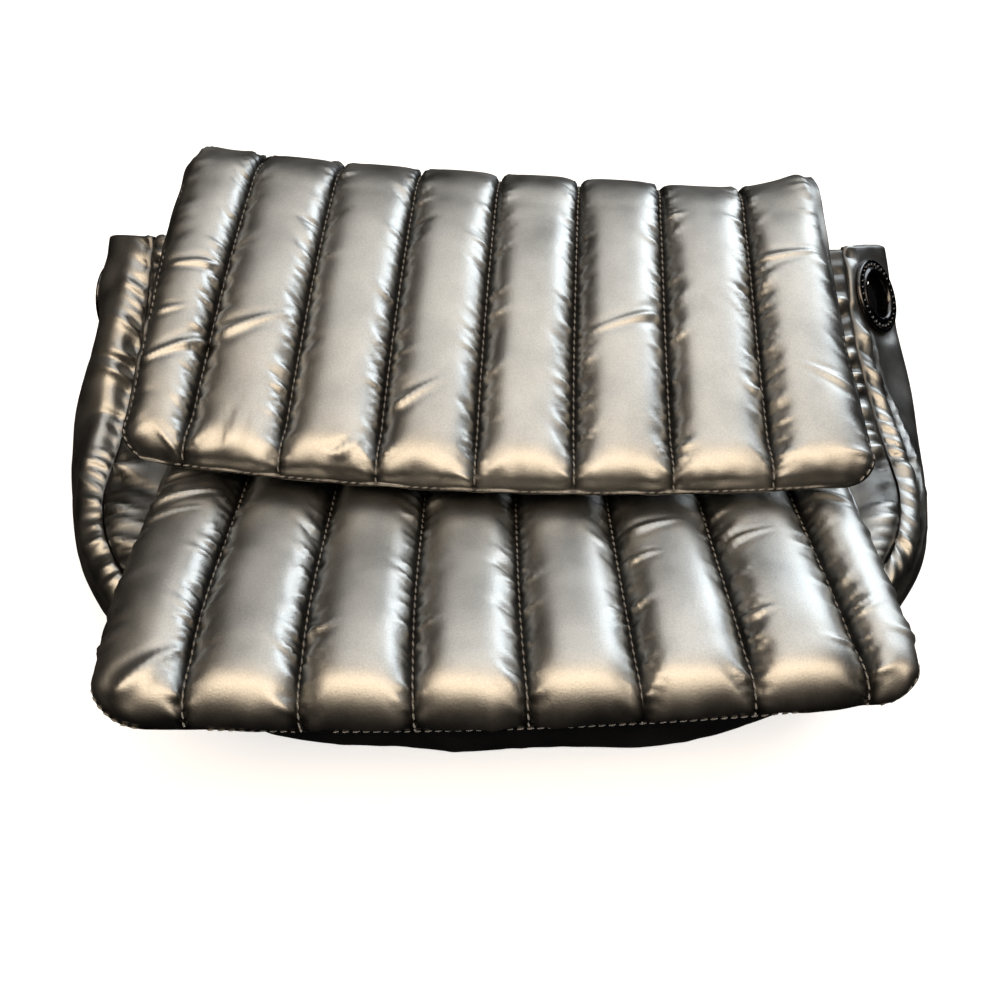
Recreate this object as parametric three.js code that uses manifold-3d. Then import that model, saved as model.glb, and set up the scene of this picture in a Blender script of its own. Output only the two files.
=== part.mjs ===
// A puffer crossbody bag, lying on its back with both flaps closed and its strap taken off.
// Millimetres, +Z up. X runs across the bag and +Y towards its mouth; its back rests on Z = 0.
// The pouch is a front panel and a back panel joined by a gusset round the sides and the bottom.
// A main flap, sewn to the back panel, folds over the mouth, and a second flap hangs below it.
import * as THREE from "three";
import { mergeVertices } from "three/addons/utils/BufferGeometryUtils.js";
import Module from "manifold-3d";

// Driving dimensions
const CHANNEL_PITCH = 32; // from one quilting seam to the next
const CHANNEL_SAMPLES = 4; // facets across a channel
const CHANNEL_CROWN = 0.6; // below 1, a channel is steep beside its seams and broad on top
const SEAM_GAP = 0.4; // left between two pieces that are sewn together
const CORE_HALF = 1.5; // half the thickness of the cloth at a seam
const CENTRE_SHIFT = { x: -0.7, y: -11.1 }; // brings the middle of the whole bag close to X = 0, Y = 0

const PANEL_HALF_WIDTH = 139;
const PANEL_MOUTH_Y = 95;
const PANEL_CORNER_Y = 0; // the rounded lower corners begin here
const PANEL_BOTTOM_Y = -78;
const PANEL_BOTTOM_HALF = 45; // half the straight stretch of the bottom edge
const PANEL_EDGE_TAPER = 16; // the padding thins to a seam over this distance
const PANEL_LOFT = 4.5; // how far a channel stands off its seams
const PANEL_REST_LOFT = 6; // the back's puffs, before the table flattens them

const FLAP_HALF_WIDTH = 125; // as cut; the table of each flap gives its two edges as they lie
const FLAP_EDGE_TAPER = 13;
const MAIN_FLAP_CORNER = 12; // radius of the flap's free corners
const FRONT_FLAP_CORNER = 20;
const FLAP_SEAMS_PER_SIDE = 3; // besides the seam down the middle

const GUSSET_HALF = 1.5; // half the thickness of the gusset's cloth
const GUSSET_SEAM_OUT = 1.9; // the gusset starts this far outside the panels' edges
const GUSSET_FLARE_LEAN = 0.63; // below 1, the ears reach furthest past the mouth in their lower half

const EYELET_RADIUS = 15.5;
const EYELET_HOLE_RADIUS = 9;
const EYELET_BARREL_RADIUS = 10.4;
const EYELET_CLEARANCE = 0.3;
const EYELET_FLANGE = 1.5; // from the middle of the pressed cloth to a flange
const EYELET_SIDES = 20;
const EYELETS_FROM_MOUTH = { left: 14, right: 16 }; // along the gusset, from its top edge
const EYELETS_ACROSS = { left: 0.5, right: 0.76 }; // the share of the gusset's width, from its back seam
const EYELET_PRESS = 6; // beyond the rim, the cloth goes back to its own shape over this distance

// Materials: the shell cloth is a satin pewter nylon, the hardware polished gunmetal
const shellCloth = new THREE.MeshStandardMaterial({ color: 0x8f8b84, roughness: 0.4, metalness: 0.85 });
const gussetCloth = new THREE.MeshStandardMaterial({ color: 0x6f6d69, roughness: 0.45, metalness: 0.85 });
const gunmetal = new THREE.MeshStandardMaterial({ color: 0x2b2b2d, roughness: 0.25, metalness: 1 });

// Shared shaping helpers

const clamp01 = (value) => THREE.MathUtils.clamp(value, 0, 1);
const evenSteps = (from, to, count) =>
  Array.from({ length: count + 1 }, (_, i) => THREE.MathUtils.lerp(from, to, i / count));

// A table of named columns, read smoothly at any value of its first column, `at`.
function smoothTable(rows) {
  const columns = Object.keys(rows[0]).filter((name) => name !== "at");
  const curve = new THREE.CubicInterpolant(
    rows.map((row) => row.at),
    rows.flatMap((row) => columns.map((name) => row[name])),
    columns.length,
  );
  return (at) => {
    const values = curve.evaluate(at);
    return Object.fromEntries(columns.map((name, i) => [name, values[i]]));
  };
}

// How full the padding is near an edge: 0 at the edge, rising like a quarter circle over `taper`.
function edgeFullness(distance, taper) {
  const share = clamp01(distance / taper);
  return Math.sqrt(share * (2 - share));
}

// How full the padding is across a channel: 0 at its two seams and 1 in the middle.
function channelFullness(fromSeam, width) {
  return Math.pow(Math.sin(Math.PI * clamp01(fromSeam / width)), CHANNEL_CROWN);
}

// A closed wall over a grid of [along, across] places. `middle` is its middle surface, and `thickness` gives how
// far the cloth stands off it on the outer side, where along x across points, and on the inner side.
function wall(grid, middle, thickness) {
  const step = 1e-3;
  const skins = { outer: [], inner: [] };
  grid.flat().forEach(([along, across]) => {
    const alongTangent = middle(along + step, across).sub(middle(along - step, across));
    const acrossTangent = middle(along, across + step).sub(middle(along, across - step));
    const normal = alongTangent.cross(acrossTangent).normalize();
    const { outer, inner } = thickness(along, across);
    skins.outer.push(middle(along, across).addScaledVector(normal, outer));
    skins.inner.push(middle(along, across).addScaledVector(normal, -inner));
  });
  const lastRow = grid.length - 1;
  const lastColumn = grid[0].length - 1;
  const outer = (r, c) => r * (lastColumn + 1) + c;
  const inner = (r, c) => outer(r, c) + skins.outer.length;
  const triangles = [];
  const quad = (a, b, c, d) => triangles.push(a, b, c, a, c, d);
  for (let r = 0; r < lastRow; r++) {
    for (let c = 0; c < lastColumn; c++) {
      quad(outer(r, c), outer(r + 1, c), outer(r + 1, c + 1), outer(r, c + 1));
      quad(inner(r, c), inner(r, c + 1), inner(r + 1, c + 1), inner(r + 1, c));
    }
    quad(outer(r, 0), inner(r, 0), inner(r + 1, 0), outer(r + 1, 0));
    quad(outer(r, lastColumn), outer(r + 1, lastColumn), inner(r + 1, lastColumn), inner(r, lastColumn));
  }
  for (let c = 0; c < lastColumn; c++) {
    quad(outer(0, c), outer(0, c + 1), inner(0, c + 1), inner(0, c));
    quad(outer(lastRow, c), inner(lastRow, c), inner(lastRow, c + 1), outer(lastRow, c + 1));
  }
  const geometry = new THREE.BufferGeometry().setFromPoints([...skins.outer, ...skins.inner]);
  geometry.setIndex(triangles);
  return geometry;
}

function named(name, geometry, material) {
  const mesh = new THREE.Mesh(geometry, material);
  mesh.name = name;
  return mesh;
}

// Panels: nine channels, one down the middle, and rounded lower corners

function panelHalfWidth(y) {
  const share = clamp01((PANEL_CORNER_Y - y) / (PANEL_CORNER_Y - PANEL_BOTTOM_Y));
  return PANEL_BOTTOM_HALF + (PANEL_HALF_WIDTH - PANEL_BOTTOM_HALF) * Math.sqrt(1 - share * share);
}

const PANEL_COLUMNS_PER_SIDE = 17;
const PANEL_PACKED_STEP = 1.2; // columns that a rounded corner cuts off pack up at its edge, this far apart

// Columns stand on the seams and between them, the last one on the panel's edge.
function panelX(y, column) {
  const toEdge = PANEL_COLUMNS_PER_SIDE - Math.abs(column);
  const edge = panelHalfWidth(y);
  const place = (Math.abs(column) * CHANNEL_PITCH) / CHANNEL_SAMPLES;
  const packed = edge - toEdge * PANEL_PACKED_STEP;
  return Math.sign(column) * (toEdge === 0 ? edge : Math.min(place, packed));
}

const panelColumns = evenSteps(-PANEL_COLUMNS_PER_SIDE, PANEL_COLUMNS_PER_SIDE, 2 * PANEL_COLUMNS_PER_SIDE);
const panelCornerRows = evenSteps(Math.PI / 2, 0, 8).map(
  (turn) => PANEL_CORNER_Y + (PANEL_BOTTOM_Y - PANEL_CORNER_Y) * Math.sin(turn),
);
const panelStraightRows = [14, 32, 52, 74, 89, PANEL_MOUTH_Y];
const panelGrid = [...panelCornerRows, ...panelStraightRows].map((y) =>
  panelColumns.map((column) => [y, panelX(y, column)]),
);

function panelFullness(y, x) {
  const fromSeam = THREE.MathUtils.euclideanModulo(x - CHANNEL_PITCH / 2, CHANNEL_PITCH);
  const toEdge = Math.min(panelHalfWidth(y) - Math.abs(x), PANEL_MOUTH_Y - y, y - PANEL_BOTTOM_Y);
  return channelFullness(fromSeam, CHANNEL_PITCH) * edgeFullness(toEdge, PANEL_EDGE_TAPER);
}

// The front panel sags between the mouth and the bottom of the empty bag, most along its middle.
const frontPanelHeights = smoothTable([
  { at: PANEL_BOTTOM_Y, left: 36, centre: 37, right: 36 },
  { at: -50, left: 37, centre: 33, right: 37 },
  { at: -14, left: 38, centre: 28, right: 38 },
  { at: 30, left: 43, centre: 36, right: 43 },
  { at: 60, left: 57, centre: 51, right: 56 },
  { at: PANEL_MOUTH_Y, left: 77, centre: 69, right: 72 },
]);

function frontPanelMiddle(y, x) {
  const { left, centre, right } = frontPanelHeights(y);
  const share = Math.min(1, Math.abs(x) / panelHalfWidth(y));
  return new THREE.Vector3(x, y, THREE.MathUtils.lerp(centre, x < 0 ? left : right, share * share));
}

function frontPanelThickness(y, x) {
  const loft = CORE_HALF + PANEL_LOFT * panelFullness(y, x);
  return { outer: loft, inner: loft };
}

// The back panel's puffs are flattened where they lie on the table, so its outer skin is set by height.
const BACK_SEAM_HEIGHT = 5;

const backPanelMiddle = (y, x) => new THREE.Vector3(x, y, BACK_SEAM_HEIGHT);

function backPanelThickness(y, x) {
  const fullness = panelFullness(y, x);
  const outer = Math.min(BACK_SEAM_HEIGHT, CORE_HALF + PANEL_REST_LOFT * fullness);
  return { outer, inner: CORE_HALF + PANEL_LOFT * fullness };
}

// Gusset: one strip round the sides and the bottom, whose top ends stand out as ears beside the mouth

const panelOutline = new THREE.Path();
panelOutline.moveTo(-PANEL_HALF_WIDTH, PANEL_MOUTH_Y);
panelOutline.lineTo(-PANEL_HALF_WIDTH, PANEL_CORNER_Y);
panelOutline.absellipse(
  -PANEL_BOTTOM_HALF, PANEL_CORNER_Y, PANEL_HALF_WIDTH - PANEL_BOTTOM_HALF, PANEL_CORNER_Y - PANEL_BOTTOM_Y,
  Math.PI, 1.5 * Math.PI, false, 0,
);
panelOutline.lineTo(PANEL_BOTTOM_HALF, PANEL_BOTTOM_Y);
panelOutline.absellipse(
  PANEL_BOTTOM_HALF, PANEL_CORNER_Y, PANEL_HALF_WIDTH - PANEL_BOTTOM_HALF, PANEL_CORNER_Y - PANEL_BOTTOM_Y,
  1.5 * Math.PI, 2 * Math.PI, false, 0,
);
panelOutline.lineTo(PANEL_HALF_WIDTH, PANEL_MOUTH_Y);
const outlineLength = panelOutline.getLength();
const gussetMiddleRun = outlineLength / 2;

// Sections by distance from the mouth: how far out and how high the back seam's side, the crease, the shoulder and
// the front seam stand. `flare` carries the ear past the mouth.
const gussetSideAndBottom = [
  { at: 95, lowOut: 16, lowZ: 9, creaseOut: 22, creaseZ: 25, shoulderOut: 12, shoulderZ: 37, frontZ: 38, flare: 0 },
  { at: 125, lowOut: 12, lowZ: 8, creaseOut: 16, creaseZ: 22, shoulderOut: 9, shoulderZ: 35, frontZ: 38, flare: 0 },
  { at: 165, lowOut: 11, lowZ: 7, creaseOut: 13, creaseZ: 19, shoulderOut: 8, shoulderZ: 33, frontZ: 37, flare: 0 },
  { at: 230, lowOut: 11, lowZ: 5, creaseOut: 11, creaseZ: 16, shoulderOut: 7, shoulderZ: 32, frontZ: 36, flare: 0 },
  {
    at: gussetMiddleRun,
    lowOut: 13, lowZ: 5, creaseOut: 12, creaseZ: 15, shoulderOut: 8, shoulderZ: 32, frontZ: 36, flare: 0,
  },
];
const gussetSections = {
  left: smoothTable([
    { at: 0, lowOut: 17, lowZ: 31, creaseOut: 19, creaseZ: 55, shoulderOut: 20, shoulderZ: 72, frontZ: 77, flare: 16 },
    { at: 35, lowOut: 20, lowZ: 20, creaseOut: 24, creaseZ: 40, shoulderOut: 17, shoulderZ: 59, frontZ: 56, flare: 3 },
    { at: 62, lowOut: 21, lowZ: 13, creaseOut: 28, creaseZ: 32, shoulderOut: 18, shoulderZ: 46, frontZ: 43, flare: 0 },
    ...gussetSideAndBottom,
  ]),
  right: smoothTable([
    { at: 0, lowOut: 22, lowZ: 25, creaseOut: 24, creaseZ: 56, shoulderOut: 14, shoulderZ: 66, frontZ: 72, flare: 20 },
    { at: 35, lowOut: 23, lowZ: 15, creaseOut: 29, creaseZ: 32, shoulderOut: 15, shoulderZ: 43, frontZ: 55, flare: 3 },
    ...gussetSideAndBottom,
  ]),
};

function looseGussetMiddle(run, across) {
  const side = run < gussetMiddleRun ? "left" : "right";
  const section = gussetSections[side](Math.min(run, outlineLength - run));
  const place = smoothTable([
    { at: 0, out: GUSSET_SEAM_OUT, z: BACK_SEAM_HEIGHT },
    { at: 0.25, out: section.lowOut, z: section.lowZ },
    { at: 0.5, out: section.creaseOut, z: section.creaseZ },
    { at: 0.75, out: section.shoulderOut, z: section.shoulderZ },
    { at: 1, out: GUSSET_SEAM_OUT, z: section.frontZ },
  ])(across);
  const share = clamp01(run / outlineLength);
  const seam = panelOutline.getPointAt(share);
  const tangent = panelOutline.getTangentAt(share);
  const flare = section.flare * Math.sin(Math.PI * Math.pow(clamp01(across), GUSSET_FLARE_LEAN));
  return new THREE.Vector3(seam.x + place.out * tangent.y, seam.y - place.out * tangent.x + flare, place.z);
}

// Each eyelet sits square on its ear, and its flanges press the cloth flat round it.
function eyeletSeat(run, across) {
  const step = 0.01;
  const along = looseGussetMiddle(run + step, across).sub(looseGussetMiddle(run - step, across));
  const upward = looseGussetMiddle(run, across + step).sub(looseGussetMiddle(run, across - step));
  return { centre: looseGussetMiddle(run, across), axis: along.cross(upward).normalize() };
}

const eyeletSeats = {
  left: eyeletSeat(EYELETS_FROM_MOUTH.left, EYELETS_ACROSS.left),
  right: eyeletSeat(outlineLength - EYELETS_FROM_MOUTH.right, EYELETS_ACROSS.right),
};

function gussetMiddle(run, across) {
  const point = looseGussetMiddle(run, across);
  Object.values(eyeletSeats).forEach(({ centre, axis }) => {
    const offset = point.clone().sub(centre);
    const height = offset.dot(axis);
    const fromAxis = Math.sqrt(Math.max(0, offset.lengthSq() - height * height));
    const nearRim = 1 - THREE.MathUtils.smoothstep(fromAxis, EYELET_RADIUS, EYELET_RADIUS + EYELET_PRESS);
    const nearFace = 1 - THREE.MathUtils.smoothstep(Math.abs(height), EYELET_PRESS, 2 * EYELET_PRESS);
    point.addScaledVector(axis, -height * nearRim * nearFace);
  });
  return point;
}

const gussetHalfRuns = [0, 6, 12, 18, 24, 31, 40, 55, 75, 95, 117, 139, 161, 183, 206, 235];
const gussetRuns = [
  ...gussetHalfRuns, gussetMiddleRun, ...gussetHalfRuns.map((run) => outlineLength - run).reverse(),
];
const gussetAcross = [0, 0.12, 0.25, 0.38, 0.5, 0.58, 0.66, 0.74, 0.82, 0.91, 1];
const uncutGusset = wall(
  gussetRuns.map((run) => gussetAcross.map((across) => [run, across])),
  gussetMiddle,
  () => ({ outer: GUSSET_HALF, inner: GUSSET_HALF }),
);

// Eyelets: a rolled ring through the cloth, its face flange wider than the washer behind

const eyeletProfile = [
  [EYELET_HOLE_RADIUS, -2.1],
  [10.2, -2.8],
  [13.5, -2.8],
  [14.5, -2.1],
  [14.2, -EYELET_FLANGE],
  [EYELET_BARREL_RADIUS, -EYELET_FLANGE],
  [EYELET_BARREL_RADIUS, EYELET_FLANGE],
  [15.2, EYELET_FLANGE],
  [EYELET_RADIUS, 2.1],
  [14.7, 3],
  [12.3, 3.7],
  [9.8, 3.4],
  [EYELET_HOLE_RADIUS, 2.5],
  [EYELET_HOLE_RADIUS, -2.1],
];

// The room the eyelet takes in the cloth: all of it inside the rim but the pressed ring between the flanges.
const EYELET_ROOM_DEPTH = 5;
const roomRadius = EYELET_RADIUS + EYELET_CLEARANCE;
const roomBarrel = EYELET_BARREL_RADIUS + EYELET_CLEARANCE;
const pressedHalf = EYELET_FLANGE - EYELET_CLEARANCE;
const eyeletRoomProfile = [
  [0, -EYELET_ROOM_DEPTH],
  [roomRadius, -EYELET_ROOM_DEPTH],
  [roomRadius, -pressedHalf],
  [roomBarrel, -pressedHalf],
  [roomBarrel, pressedHalf],
  [roomRadius, pressedHalf],
  [roomRadius, EYELET_ROOM_DEPTH],
  [0, EYELET_ROOM_DEPTH],
];

// A ring or disc turned from its profile of [radius, height], on the eyelet's axis.
function turned(profile, { centre, axis }) {
  const points = profile.map(([radius, height]) => new THREE.Vector2(radius, height));
  const geometry = new THREE.LatheGeometry(points, EYELET_SIDES);
  const stand = new THREE.Quaternion().setFromUnitVectors(new THREE.Vector3(0, 1, 0), axis);
  return geometry.applyQuaternion(stand).translate(centre.x, centre.y, centre.z);
}

const solids = await Module();
solids.setup();
const { Manifold, Mesh: SolidMesh } = solids;

function toSolid(geometry) {
  const bare = new THREE.BufferGeometry();
  bare.setAttribute("position", geometry.getAttribute("position"));
  bare.setIndex(geometry.getIndex());
  const merged = mergeVertices(bare, 1e-4);
  const corners = merged.getIndex().array;
  const triangles = [];
  for (let i = 0; i < corners.length; i += 3) {
    const [a, b, c] = corners.slice(i, i + 3);
    if (a !== b && b !== c && c !== a) triangles.push(a, b, c);
  }
  return new Manifold(
    new SolidMesh({
      numProp: 3,
      vertProperties: new Float32Array(merged.getAttribute("position").array),
      triVerts: new Uint32Array(triangles),
    }),
  );
}

function toGeometry(solid) {
  const mesh = solid.getMesh();
  const geometry = new THREE.BufferGeometry();
  geometry.setAttribute("position", new THREE.BufferAttribute(new Float32Array(mesh.vertProperties), 3));
  geometry.setIndex(Array.from(mesh.triVerts));
  return geometry;
}

// The cut for the eyelets leaves slivers beside the rims; only the strip itself is kept.
const cutGusset = Object.values(eyeletSeats).reduce(
  (solid, seat) => solid.subtract(toSolid(turned(eyeletRoomProfile, seat))),
  toSolid(uncutGusset),
);
const [gussetStrip] = cutGusset.decompose().sort((a, b) => b.volume() - a.volume());
const gusset = toGeometry(gussetStrip);

// Flaps: eight channels with a seam down the middle, and rounded free corners

// `path` holds the seams' course as [y, z] from the sewn edge to the free edge. `shape` is read by the share of that
// course: the puffs' height on both sides, the two side edges' distance from the middle seam, the turn in plan, how
// far the side edges rise above the middle, how much higher than the middle the left one leans, how far the right edge
// flicks up beyond the last seam, and how far the seams are shifted and spread from their cut places.
function quiltedFlap({ path, shape, shares, turnAboutY, bow, corner }) {
  const course = new THREE.CatmullRomCurve3(path.map(([y, z]) => new THREE.Vector3(0, y, z)), false, "centripetal");
  const length = course.getLength();
  const shapeAt = smoothTable(shape);
  const lastSeam = FLAP_SEAMS_PER_SIDE * CHANNEL_PITCH;

  const middle = (share, x) => {
    const aside = x / FLAP_HALF_WIDTH;
    const beyondSeam = Math.max(0, (x - lastSeam) / (FLAP_HALF_WIDTH - lastSeam));
    const { turn, rise, lean = 0, flick = 0 } = shapeAt(clamp01(share));
    const point = course.getPointAt(clamp01(share * (1 - (bow / length) * aside * aside * share * share)));
    const angle = THREE.MathUtils.degToRad(turn);
    const ahead = point.y - turnAboutY;
    return new THREE.Vector3(
      x * Math.cos(angle) + ahead * Math.sin(angle),
      turnAboutY + ahead * Math.cos(angle) - x * Math.sin(angle),
      point.z + rise * aside * aside - lean * aside + flick * beyondSeam * beyondSeam,
    );
  };

  // Distance of a side edge from the middle seam; `side` is -1 for the left edge and 1 for the right one.
  const edgeAt = (share, side) => {
    const { left, right } = shapeAt(share);
    const intoCorner = Math.max(0, corner - (1 - share) * length);
    return (side < 0 ? left : right) - corner + Math.sqrt(corner * corner - intoCorner * intoCorner);
  };

  const seamX = (share, seam) => {
    const { shift, spread } = shapeAt(share);
    return shift + seam * CHANNEL_PITCH * spread;
  };

  const columnsPerSide = (FLAP_SEAMS_PER_SIDE + 1) * CHANNEL_SAMPLES;
  const columnX = (share, column) => {
    const seam = column / CHANNEL_SAMPLES;
    const side = Math.sign(column);
    const beyond = Math.abs(seam) - FLAP_SEAMS_PER_SIDE;
    if (beyond <= 0) return seamX(share, seam);
    return THREE.MathUtils.lerp(seamX(share, side * FLAP_SEAMS_PER_SIDE), side * edgeAt(share, side), beyond);
  };

  const fullness = (share, x) => {
    const side = Math.sign(x);
    const outerSeam = side * seamX(share, side * FLAP_SEAMS_PER_SIDE);
    const { shift, spread } = shapeAt(share);
    const pitch = CHANNEL_PITCH * spread;
    const across =
      side * x < outerSeam
        ? channelFullness(THREE.MathUtils.euclideanModulo(x - shift, pitch), pitch)
        : channelFullness(side * x - outerSeam, edgeAt(share, side) - outerSeam);
    return across * edgeFullness(Math.min(share, 1 - share) * length, FLAP_EDGE_TAPER);
  };

  const columns = evenSteps(-columnsPerSide, columnsPerSide, 2 * columnsPerSide);
  return wall(
    shares.map((share) => columns.map((column) => [share, columnX(share, column)])),
    middle,
    (share, x) => {
      const { outer, inner } = shapeAt(share);
      const full = fullness(share, x);
      return { outer: CORE_HALF + outer * full, inner: CORE_HALF + inner * full };
    },
  );
}

const mainFlap = quiltedFlap({
  path: [
    [PANEL_MOUTH_Y + SEAM_GAP, BACK_SEAM_HEIGHT], [109, 8.5], [120.5, 25], [124.5, 50], [122.5, 73], [115, 88],
    [103, 93], [88, 90], [61, 84], [17, 74.8], [-27, 65.4],
  ],
  shape: [
    { at: 0, outer: 2, inner: 2, left: 125, right: 125, turn: 0, rise: 0, lean: 0, flick: 0, shift: 0, spread: 1 },
    { at: 0.2, outer: 3, inner: 3, left: 125, right: 124, turn: 1.5, rise: 0, lean: 1, flick: 0, shift: 0, spread: 1 },
    {
      at: 0.4, outer: 4, inner: 4, left: 124, right: 121,
      turn: 4.5, rise: 3, lean: 3, flick: 9, shift: -0.5, spread: 0.99,
    },
    { at: 0.6, outer: 8, inner: 5, left: 124, right: 126, turn: 4, rise: 2, lean: 2, flick: 1, shift: -0.8, spread: 1 },
    {
      at: 1, outer: 9, inner: 5, left: 123, right: 133,
      turn: 3, rise: 0, lean: 0, flick: 0, shift: -1.5, spread: 1.025,
    },
  ],
  shares: [
    0, 0.025, 0.07, 0.14, 0.2, 0.26, 0.31, 0.36, 0.41, 0.48, 0.56, 0.65, 0.75, 0.85, 0.92, 0.96, 0.985, 1,
  ],
  turnAboutY: 105,
  bow: 8,
  corner: MAIN_FLAP_CORNER,
});

const frontFlap = quiltedFlap({
  path: [
    [32, 45.1], [10, 44.5], [-13, 46.5], [-40, 52], [-66, 55.8], [-85, 57.5], [-96, 57], [-104, 53], [-107, 48],
  ],
  shape: [
    { at: 0, outer: 2, inner: 1, left: 119, right: 122, turn: 0, rise: 7, shift: 5.5, spread: 0.98 },
    { at: 0.3, outer: 8, inner: 4, left: 120, right: 123, turn: 0, rise: 5, shift: 5.5, spread: 0.99 },
    { at: 0.7, outer: 9, inner: 6, left: 122, right: 123, turn: -0.9, rise: 2, shift: 5, spread: 1.02 },
    { at: 1, outer: 9, inner: 6, left: 123.5, right: 122.5, turn: -2, rise: 0, shift: 4.7, spread: 1.035 },
  ],
  shares: [0, 0.04, 0.1, 0.18, 0.28, 0.38, 0.48, 0.58, 0.68, 0.78, 0.86, 0.92, 0.96, 0.985, 1],
  turnAboutY: 0,
  bow: 6,
  corner: FRONT_FLAP_CORNER,
});

const bag = new THREE.Group();
bag.add(
  named("back_panel", wall(panelGrid, backPanelMiddle, backPanelThickness), shellCloth),
  named("front_panel", wall(panelGrid, frontPanelMiddle, frontPanelThickness), shellCloth),
  named("gusset", gusset, gussetCloth),
  named("main_flap", mainFlap, shellCloth),
  named("front_flap", frontFlap, shellCloth),
  named("eyelet_left", turned(eyeletProfile, eyeletSeats.left), gunmetal),
  named("eyelet_right", turned(eyeletProfile, eyeletSeats.right), gunmetal),
);
bag.position.set(CENTRE_SHIFT.x, CENTRE_SHIFT.y, 0);

export default bag;
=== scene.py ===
import math

import bmesh
import bpy
import numpy as np
from mathutils import Matrix, Vector


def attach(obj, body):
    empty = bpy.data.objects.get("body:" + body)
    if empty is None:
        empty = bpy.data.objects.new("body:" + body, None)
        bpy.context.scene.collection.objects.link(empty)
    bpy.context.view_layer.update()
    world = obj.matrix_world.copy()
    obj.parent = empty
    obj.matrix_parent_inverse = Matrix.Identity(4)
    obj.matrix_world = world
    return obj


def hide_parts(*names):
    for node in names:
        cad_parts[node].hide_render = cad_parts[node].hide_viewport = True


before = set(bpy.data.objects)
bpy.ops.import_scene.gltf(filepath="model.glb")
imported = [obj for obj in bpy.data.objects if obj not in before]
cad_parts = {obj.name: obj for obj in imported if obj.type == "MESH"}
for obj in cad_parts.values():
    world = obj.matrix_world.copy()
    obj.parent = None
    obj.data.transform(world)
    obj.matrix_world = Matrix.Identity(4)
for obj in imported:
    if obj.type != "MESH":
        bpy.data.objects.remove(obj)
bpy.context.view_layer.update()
scene = bpy.context.scene


# Camera
# It stands in front of the bag's bottom edge and looks down on the closed flaps at 50 degrees.
CAMERA_SPOT = (-0.0007, -0.2551, 0.3166)
CAMERA_TILT = 40
CAMERA_LENS = 36
CAMERA_SENSOR = 36

camera_data = bpy.data.cameras.new("camera")
camera_data.lens = CAMERA_LENS
camera_data.sensor_width = CAMERA_SENSOR
camera = bpy.data.objects.new("camera", camera_data)
camera.location = CAMERA_SPOT
camera.rotation_euler = (math.radians(CAMERA_TILT), 0, 0)
scene.collection.objects.link(camera)
scene.camera = camera


# Back panel
# The quilted panel that the bag lies on: two skins of coated nylon over a thin fill, sewn through in nine
# upright channels. Its puffs are pressed flat by the table, and its edge is sewn to the gusset and the main
# flap. Lengths are in millimetres. A row of puckers is given as (spacing, reach, height, slant).
MM = 0.001
BAG_SHIFT = np.array([-0.7, -11.1, 0.0])
CHANNEL_PITCH = 32.0
SEAM_STRIP = 0.5
CLOTH_HALF = 0.6
ON_STITCH = 0.1
PANEL_HALF_WIDTH = 139.0
PANEL_WIDEST = 146.0
PANEL_MOUTH_Y = 95.0
PANEL_BOTTOM_Y = -78.0
PANEL_BOTTOM_HALF = 45.0
PANEL_SEAMS = (16.0, 48.0, 80.0, 112.0)
PANEL_RUN = 175
PANEL_EDGE_TAPER = 14.0
PANEL_PACKED_STEP = 0.8
PANEL_CHANNEL_STOPS = 9
PANEL_MIDDLE_STOPS = 5
PANEL_CORNER_ROWS = 30
PANEL_SIDE_ROWS = 37
PANEL_GATHERED = 11
PANEL_PRESSURE = 5.0
PANEL_MOST = 2.0 * MM
PANEL_SEAM_PUCKERS = (6, 9, 0.9, -0.6)
PANEL_SIDE_PUCKERS = (5, 20, 3.6, 0.3)
PANEL_SIDE_BAND = 24
PANEL_SIDE_FADE = 3
# Painted shade on the panels: how dark and how wide it is beside the seams, and between the side gathers,
# whose ridges stay light.
PANEL_SHADE = 0.85
PANEL_SHADE_WIDTH = 1.7
GATHER_SHADE = 0.8
GATHER_SHADE_BAND = 26
GATHER_SHADE_FADE = 10
GATHER_LIT_HEIGHT = 1.1
BACK_SEAM_HEIGHT = 5.0
BACK_LOFT = 4.0
BACK_WIDER = ((-78, 0, 0), (95, 0, 0))
BACK_LOWEST = 0.0002
BACK_SEED = 11
SHELL_DARK = (0.45, 0.448, 0.435)
SHELL_LIGHT = (0.63, 0.628, 0.61)
SHELL_ROUGHNESS = 0.40
SHELL_GRAIN = 0.16


def read_table(rows, at):
    """Reads a table, whose first column is the place, along smooth curves through its rows."""
    rows = np.asarray(rows, float)
    knots = rows[:, 0]
    values = rows[:, 1:]
    slopes = np.gradient(values, knots, axis=0)
    at = np.clip(np.asarray(at, float), knots[0], knots[-1])
    span = np.clip(np.searchsorted(knots, at, side="right") - 1, 0, len(knots) - 2)
    width = (knots[span + 1] - knots[span])[..., None]
    t = (at - knots[span])[..., None] / width
    start = (1 + 2 * t) * (1 - t) ** 2 * values[span] + t * (1 - t) ** 2 * width * slopes[span]
    end = t * t * (3 - 2 * t) * values[span + 1] - t * t * (1 - t) * width * slopes[span + 1]
    return start + end


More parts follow.
